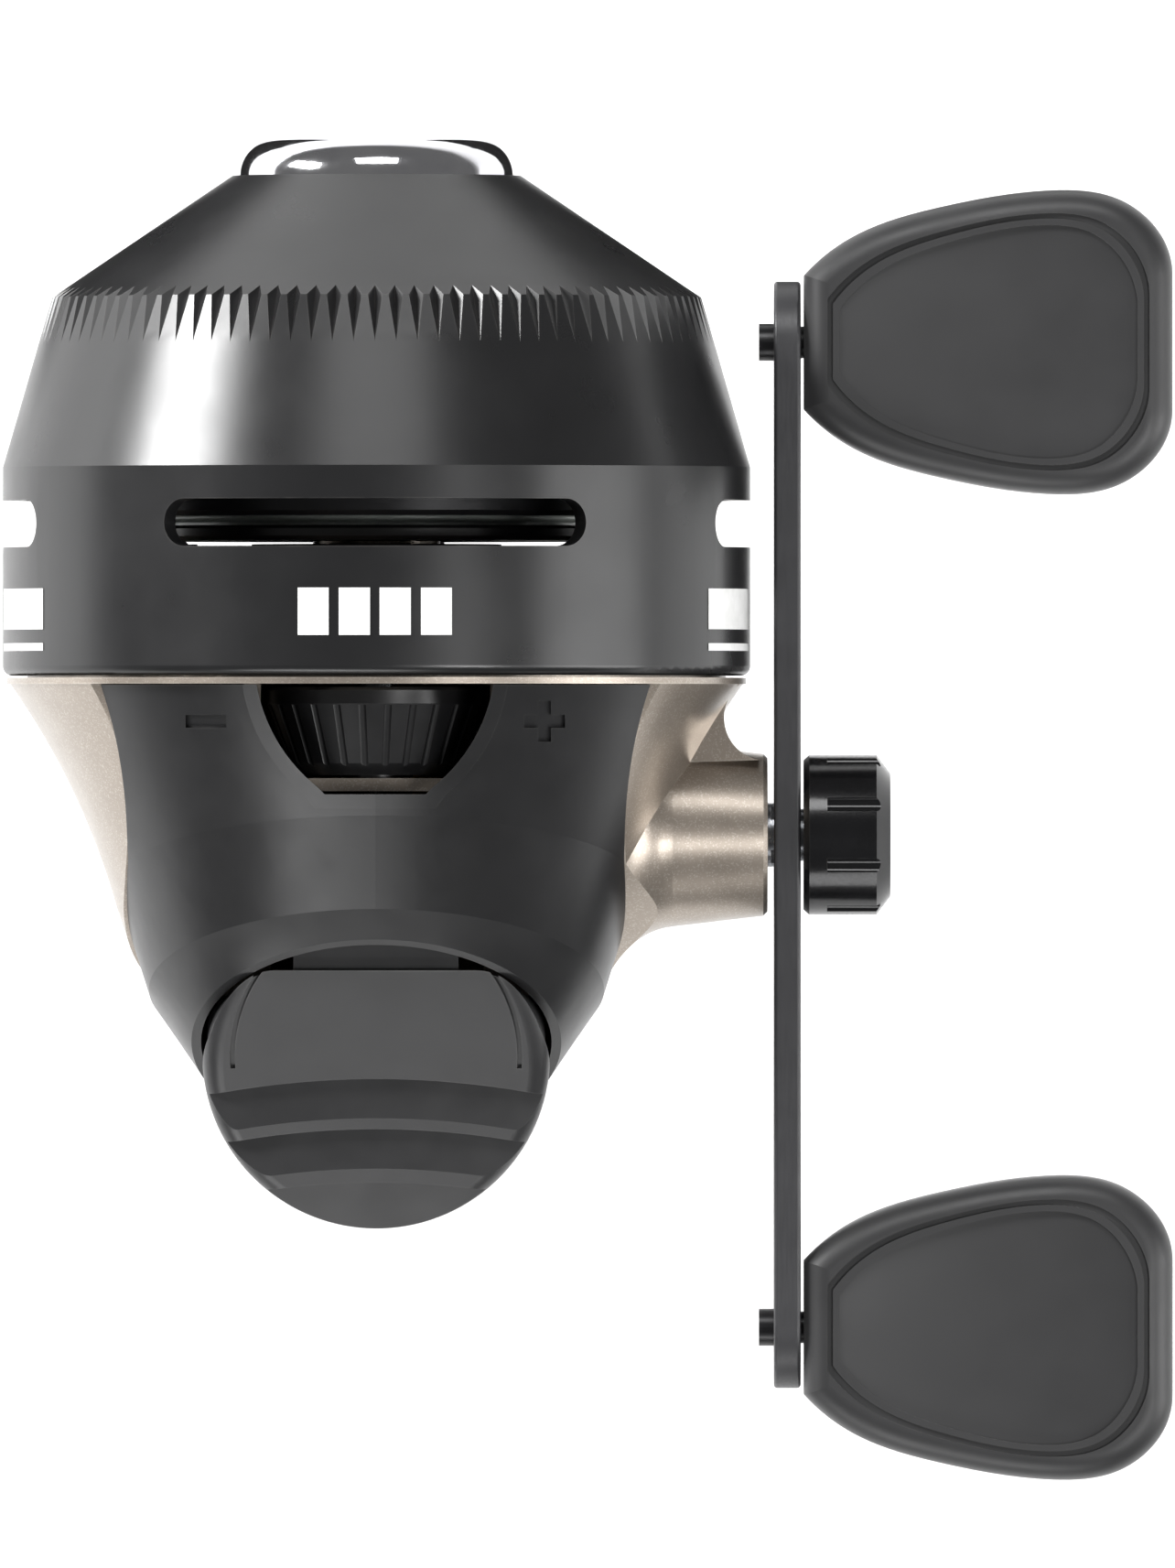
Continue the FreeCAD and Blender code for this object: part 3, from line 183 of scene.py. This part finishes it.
def champagneFlakePaint(look=champagneLook):
    # Champagne metallic paint: aluminium flakes in a warm silver base, under a satin clear coat
    material, tree, principled, place = newMaterial(look["name"], {
        "Metallic": 0.72, "Coat Weight": 0.35, "Coat Roughness": 0.22})
    flakes = addNode(tree, "ShaderNodeTexVoronoi",
                     values={"Scale": perMillimetre(look["flakeSize"]), "Randomness": 1.0},
                     links={"Vector": place})
    sparkle = addNode(tree, "ShaderNodeSeparateColor", links={"Color": flakes.outputs["Color"]})
    least, most = look["flakeCover"]      # cells redder than least are flakes, mixed in by up to most
    bright = addRange(tree, sparkle.outputs["Red"], least, 1.0, 0.0, most)
    slow = mixColours(tree, mottle(tree, place, 9, 0.0, 1.0), look["base"], look["light"])
    flaked = mixColours(tree, bright, slow, look["flake"])
    wear = edgeWear(tree, place, 0.3, 0.35)
    tree.links.new(mixColours(tree, wear, flaked, look["worn"]), principled.inputs["Base Color"])
    tree.links.new(mottle(tree, place, 3, *look["roughness"]), principled.inputs["Roughness"])
    addBump(tree, principled, sparkle.outputs["Green"], 0.06, 0.02)
    return material


chromeLook = {"name": "polishedChromeRing", "colour": "#e4e4e6", "smear": "#d2d2d6", "roughness": (0.05, 0.12)}


def polishedChromeRing(look=chromeLook):
    # Chromed and buffed line guide: near mirror, with faint turned lines round its axis
    material, tree, principled, place = newMaterial(look["name"], {"Metallic": 1.0})
    colour = mixColours(tree, mottle(tree, place, 5, 0.0, 1.0), look["colour"], look["smear"])
    tree.links.new(colour, principled.inputs["Base Color"])
    tree.links.new(mottle(tree, place, 2, *look["roughness"]), principled.inputs["Roughness"])
    lines = addNode(tree, "ShaderNodeTexWave", {"bands_direction": "Y"},
                    {"Scale": perMillimetre(6), "Distortion": 1.5}, {"Vector": place})
    addBump(tree, principled, lines.outputs["Fac"], 0.03, 0.01)
    return material


rubberLook = {"name": "softTouchKnob", "dark": "#232324", "light": "#272728", "worn": "#343332",
              "roughness": (0.42, 0.48), "grain": 0.35}


def softTouchKnob(look=rubberLook):
    # Soft-touch coat over moulded plastic: charcoal, broad dull highlight, velvet-fine grain
    material, tree, principled, place = newMaterial(look["name"], {
        "IOR": 1.5, "Sheen Weight": 0.12, "Sheen Roughness": 0.5})
    wear = edgeWear(tree, place, 0.4, 0.3)
    colour = mixColours(tree, mottle(tree, place, 12, 0.0, 1.0), look["dark"], look["light"])
    tree.links.new(mixColours(tree, wear, colour, look["worn"]), principled.inputs["Base Color"])
    tree.links.new(mottle(tree, place, 5, *look["roughness"]), principled.inputs["Roughness"])
    grain = addNode(tree, "ShaderNodeTexNoise", values={"Scale": perMillimetre(look["grain"]), "Detail": 2.0},
                    links={"Vector": place})
    addBump(tree, principled, grain.outputs["Fac"], 0.12, 0.02)
    return material


wornMetal = {"bright": "#cfcfd2", "dark": "#5a5957"}


def machinedMetal(name, colour, shade, roughness, metallic=1.0, direction="X"):
    # Turned or stamped metal: fine tool lines along one way, slightly uneven polish, brighter worn edges
    material, tree, principled, place = newMaterial(name, {"Metallic": metallic})
    stretch = {"X": (1, 14, 14), "Y": (14, 1, 14), "Z": (14, 14, 1)}[direction]
    along = addNode(tree, "ShaderNodeMapping", values={"Scale": stretch}, links={"Vector": place})
    lines = addNode(tree, "ShaderNodeTexNoise", values={"Scale": perMillimetre(2.5), "Detail": 4.0},
                    links={"Vector": along.outputs["Vector"]})
    slow = mixColours(tree, mottle(tree, place, 4, 0.0, 1.0), colour, shade)
    wear = edgeWear(tree, place, 0.15, 0.5)
    worn = wornMetal["bright"] if metallic > 0.5 else wornMetal["dark"]
    tree.links.new(mixColours(tree, wear, slow, worn), principled.inputs["Base Color"])
    tree.links.new(addRange(tree, lines.outputs["Fac"], 0.35, 0.65, *roughness), principled.inputs["Roughness"])
    addBump(tree, principled, lines.outputs["Fac"], 0.08, 0.01)
    return material


# in lineLook, light is the line's own colour and dark is painted shade for the grooves between rows
lineLook = {"name": "clearNylonLine", "light": "#c9cfc9", "dark": "#8f9691", "thread": 0.4}


def clearNylonLine(look=lineLook):
    # Level-wound monofilament: glossy, with rows a thread apart; the darker colour in the grooves between rows
    # is painted shade
    material, tree, principled, place = newMaterial(look["name"], {"IOR": 1.53, "Roughness": 0.25})
    rowsAndGrooveShade = addNode(tree, "ShaderNodeTexWave", {"bands_direction": "Y", "wave_profile": "SIN"},
                   {"Scale": perMillimetre(look["thread"] * 6.28), "Distortion": 0.6, "Detail Scale": 2.0},
                   {"Vector": place})
    # painted shade: the wave that lowers the bump in the grooves also darkens the colour there
    tree.links.new(mixColours(tree, rowsAndGrooveShade.outputs["Fac"], look["dark"], look["light"]),
                   principled.inputs["Base Color"])
    addBump(tree, principled, rowsAndGrooveShade.outputs["Fac"], 0.6, 0.15)
    return material


def dressNodes():
    steel = machinedMetal("turnedSteel", "#8d8f93", "#76787c", (0.22, 0.38), direction="Y")
    brass = machinedMetal("hobbedBrass", "#b08d4f", "#94723a", (0.25, 0.42))
    darkMetal = machinedMetal("blackAnodisedAlloy", "#1c1c1e", "#262628", (0.28, 0.4), metallic=0.35)
    shell, coat, rubber = mouldedBlackNylon(), satinBlackCoat(), softTouchKnob()
    greyPlastic = mouldedBlackNylon({"name": "mouldedBlackAcetal", "dark": "#121213", "light": "#1b1b1c",
                                     "worn": "#3b3a39", "roughness": (0.28, 0.36), "grain": 0.4})
    finishes = {
        "black_paint": coat, "black_shell": shell, "champagne": champagneFlakePaint(),
        "polished_steel": polishedChromeRing(), "dark_rubber": rubber, "steel": steel, "brass": brass,
        "dark_metal": darkMetal, "line": clearNylonLine(), "grey_plastic": greyPlastic}
    for part in frame["record"]["subparts"]:
        mesh = nodes[part["node"]].data
        mesh.materials.clear()
        mesh.materials.append(finishes[part["material_slot"]])
    # the button's paler worn colour is partly real wear on its edges and partly a painted highlight along the
    # tread edges
    nodes["thumb_button"].data.materials[0] = mouldedBlackNylon({
        "name": "mouldedCharcoalButton", "dark": "#262627", "light": "#2b2b2c", "worn": "#5c5b5a",
        "roughness": (0.34, 0.42), "grain": 0.4})
    nodes["crank_arm"].data.materials[0] = machinedMetal(
        "blackAnodisedArm", "#303032", "#363638", (0.38, 0.48), metallic=0.1, direction="Y")
    nodes["crank_nut"].data.materials[0] = machinedMetal(
        "glossBlackNut", "#101011", "#161618", (0.14, 0.22), metallic=0.2, direction="Z")
    print("materials on", len(nodes), "nodes")


def addObject(name, bm, material):      # turns a finished bmesh into a scene object at the origin
    mesh = bpy.data.meshes.new(name)
    bm.to_mesh(mesh)
    bm.free()
    mesh.materials.append(material)
    piece = bpy.data.objects.new(name, mesh)
    bpy.context.scene.collection.objects.link(piece)
    return piece


# plain white bars printed round the cover's band, a hair above the coat

bars = {"lift": 0.02, "thick": 0.05, "front": 23.0, "back": 18.6,
        "middleTurns": (-9.4, -3.1, 3.1, 9.4), "middleWidth": 2.9,
        "sideTurn": 73.0, "sideWidth": 13.0, "sideBack": 19.2, "lineBack": 17.2, "lineFront": 17.9}


def printedWhite():
    # Pad-printed white ink: flat, slightly uneven cover, dull against the satin coat
    material, tree, principled, place = newMaterial("padPrintedWhiteInk", {"IOR": 1.48})
    thin = mottle(tree, place, 1.5, 0.0, 1.0)
    tree.links.new(mixColours(tree, thin, "#e6e6e4", "#f2f2f1"), principled.inputs["Base Color"])
    tree.links.new(mottle(tree, place, 2, 0.4, 0.5), principled.inputs["Roughness"])
    speck = addNode(tree, "ShaderNodeTexNoise", values={"Scale": perMillimetre(0.3), "Detail": 2.0},
                    links={"Vector": place})
    addBump(tree, principled, speck.outputs["Fac"], 0.1, 0.01)
    return material


def addBar(bm, radius, turn, width, back, front):
    # a thin strip along Y, spun about the reel's axis; turn is in degrees from the top towards +X
    low = radius + bars["lift"]
    span = width / radius
    lay = (Matrix.Translation((0, 0, axisZ)) @ Matrix.Rotation(math.radians(turn - 90) - span / 2, 4, "Y")
           @ Matrix.Translation(((low + bars["thick"] / 2) * millimetre, (back + front) / 2 * millimetre, 0))
           @ Matrix.Diagonal((bars["thick"] * millimetre, (front - back) * millimetre, 1, 1)))
    strip = bmesh.ops.create_grid(bm, x_segments=1, y_segments=1, size=0.5, matrix=lay)["verts"]
    faces = list({face for vert in strip for face in vert.link_faces})
    bmesh.ops.spin(bm, geom=faces, cent=(0, 0, axisZ), axis=(0, 1, 0), dvec=(0, 0, 0),
                   angle=span, steps=12, use_duplicate=False)


def printBars():
    low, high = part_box("front_cover")
    radius = (high.x - low.x) / 2 / millimetre
    bm = bmesh.new()
    for turn in bars["middleTurns"]:
        addBar(bm, radius, turn, bars["middleWidth"], bars["back"], bars["front"])
    for side in (-1, 1):
        addBar(bm, radius, side * bars["sideTurn"], bars["sideWidth"], bars["sideBack"], bars["front"])
        addBar(bm, radius, side * bars["sideTurn"], bars["sideWidth"], bars["lineBack"], bars["lineFront"])
    bmesh.ops.remove_doubles(bm, verts=bm.verts, dist=1e-7)
    bmesh.ops.recalc_face_normals(bm, faces=bm.faces)
    piece = addObject("band_bars", bm, printedWhite())
    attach(piece, "cover")
    print("bars printed on the band")


# studio

studio = {"floorDrop": 0.05, "floor": "#ffffff", "ambient": 0.16, "frameHeight": 0.1468, "lens": 1000,
          "centreX": 0.01975, "centreY": 0.00476, "flagColour": "#050505",
          "flagPlace": (0.062, 0.055), "flagHalf": (0.035, 0.06)}
softboxes = [      # name, size, place, watts
    ("noseSoftbox", (0.45, 0.25), (0.0, 0.6, 0.65), 3.2),
    ("leftStrip", (0.2, 0.36), (-0.7, 0.4, 0.34), 11.5),
    ("topRightBox", (0.22, 0.3), (0.42, -0.2, 0.85), 3.0),
    ("rightFill", (0.3, 0.5), (0.7, -0.1, 0.3), 3),
    ("backFill", (0.5, 0.3), (-0.15, -0.7, 0.35), 2.5)]


def addSoftbox(name, size, place, target, power, colour="#ffffff"):
    light = bpy.data.lights.new(name, "AREA")
    light.shape = "RECTANGLE"
    light.size, light.size_y = size
    light.energy = power
    light.color = hexToLinear(colour)[:3]
    lamp = bpy.data.objects.new(name, light)
    bpy.context.scene.collection.objects.link(lamp)
    lamp.location = place
    lamp.rotation_mode = "QUATERNION"
    lamp.rotation_quaternion = (Vector(target) - Vector(place)).to_track_quat("-Z", "Y")
    return lamp


def plainMaterial(name, colour, roughness):      # for the stage only: one even colour
    return newMaterial(name, {"Base Color": hexToLinear(colour), "Roughness": roughness})[0]


def addFlag(name, side):
    low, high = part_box("line_guide_ring")
    bm = bmesh.new()
    across, ahead = studio["flagPlace"]
    lay = (Matrix.Translation((side * across, high.y + ahead, 0.002 - studio["floorDrop"]))
           @ Matrix.Diagonal((*studio["flagHalf"], 1, 1)))
    bmesh.ops.create_grid(bm, x_segments=1, y_segments=1, size=1.0, matrix=lay)
    flag = addObject(name, bm, plainMaterial("blackVelvetFlag", studio["flagColour"], 1.0))
    flag.visible_camera = flag.visible_diffuse = flag.visible_shadow = False      # seen only in reflections


def buildStudio():
    middle = Vector((studio["centreX"], crankY, axisZ))
    for name, size, place, power in softboxes:
        addSoftbox(name, size, place, middle, power)
    world = bpy.data.worlds.new("paleRoom")
    world.use_nodes = True
    world.node_tree.nodes["Background"].inputs["Color"].default_value = hexToLinear("#ffffff")
    world.node_tree.nodes["Background"].inputs["Strength"].default_value = studio["ambient"]
    bpy.context.scene.world = world

    bm = bmesh.new()
    bmesh.ops.create_grid(bm, x_segments=1, y_segments=1, size=3.0,
                          matrix=Matrix.Translation((0, 0, -studio["floorDrop"])))
    floor = addObject("floor", bm, plainMaterial("matteWhiteSweep", studio["floor"], 0.9))

    for side in (-1, 1):      # black flags beside the nose: they give the polished ring its dark sides
        addFlag("noseFlag" + ("Left" if side < 0 else "Right"), side)

    camera = bpy.data.cameras.new("camera")
    camera.lens, camera.sensor_width = studio["lens"], 36
    camera.clip_start, camera.clip_end = 0.5, 20
    eye = bpy.data.objects.new("camera", camera)
    bpy.context.scene.collection.objects.link(eye)
    eye.location = (studio["centreX"], crankY + studio["centreY"],
                    axisZ + studio["frameHeight"] / 36 * studio["lens"])
    bpy.context.scene.camera = eye
    bpy.context.scene.view_settings.view_transform = "Standard"
    print("studio ready")


dressNodes()
printBars()
buildStudio()
